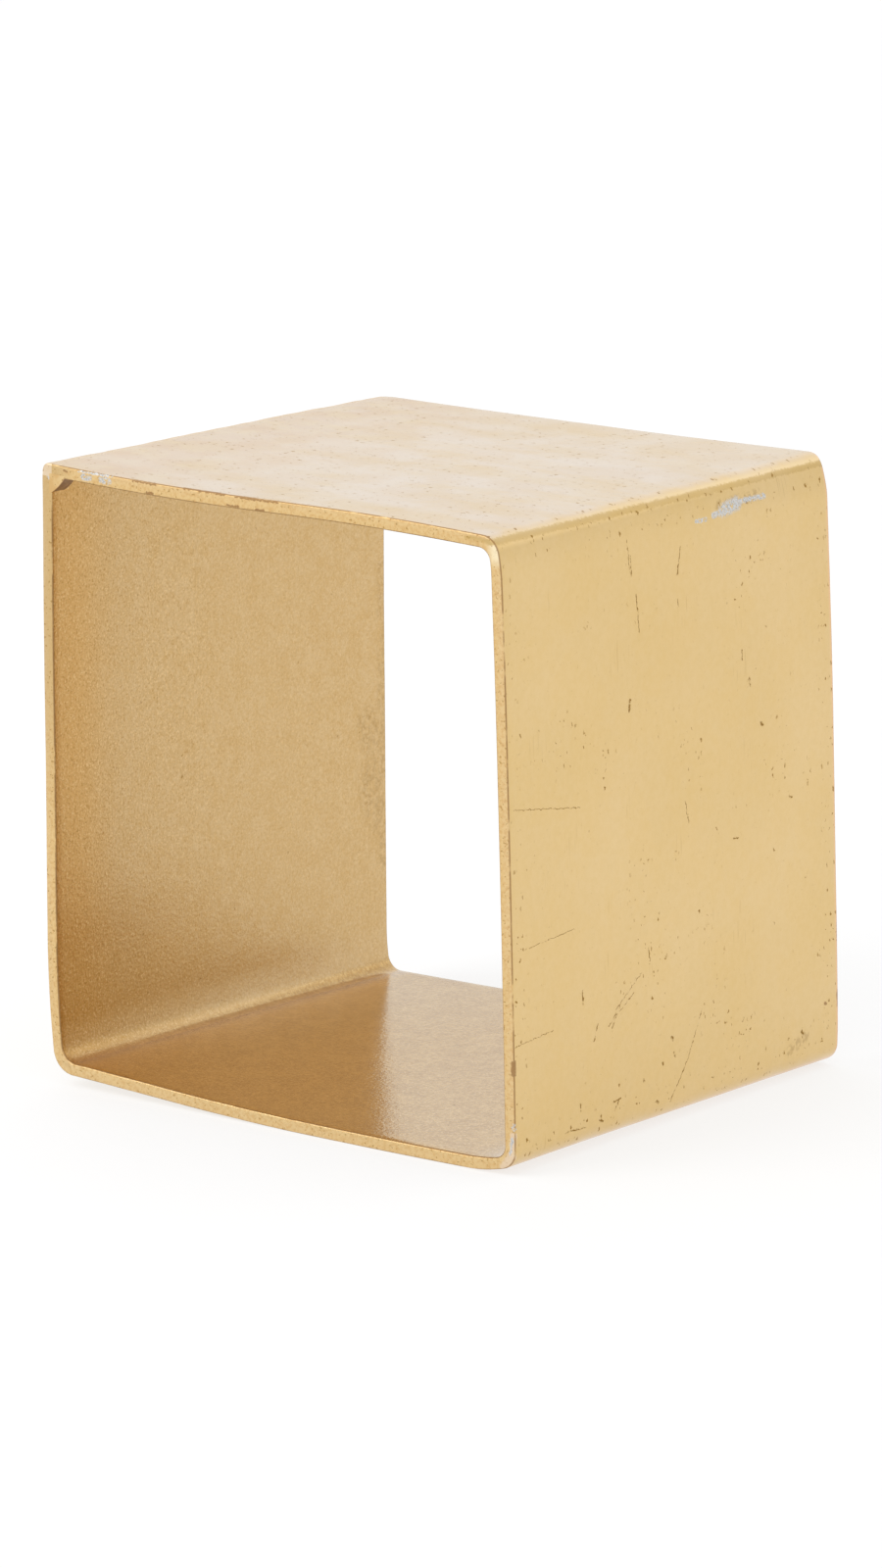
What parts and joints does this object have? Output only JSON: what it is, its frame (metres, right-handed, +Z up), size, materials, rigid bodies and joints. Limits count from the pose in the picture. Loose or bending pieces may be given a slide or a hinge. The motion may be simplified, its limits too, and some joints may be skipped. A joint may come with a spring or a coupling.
{
  "type": "open metal cube",
  "caption": "Open-ended cube folded from one flat metal bar and welded at one corner, gold painted; stands on any side as a display block, riser or small shelf.",
  "frame": {"origin": "middle of the base, on the surface that the cube stands on", "axes": "+Z up; +Y runs through the opening towards the back mouth, so the front mouth faces -Y; +X towards the leaf that leans in most"},
  "size_m": [0.1376, 0.127, 0.147],
  "materials": {
    "painted_bar": "glossy gold paint on steel bar, satin on the outside of the leaves, orange peel inside, chipped along the edges",
    "painted_bead": "gold paint over a weld bead ground flush",
    "painted_fillet": "gold paint over an unground fillet weld"
  },
  "bodies": {
    "root": {"folded_band": "painted_bar", "corner_seam_weld": "painted_bead", "front_tack_weld": "painted_fillet", "rear_tack_weld": "painted_fillet"}
  },
  "joints": []
}
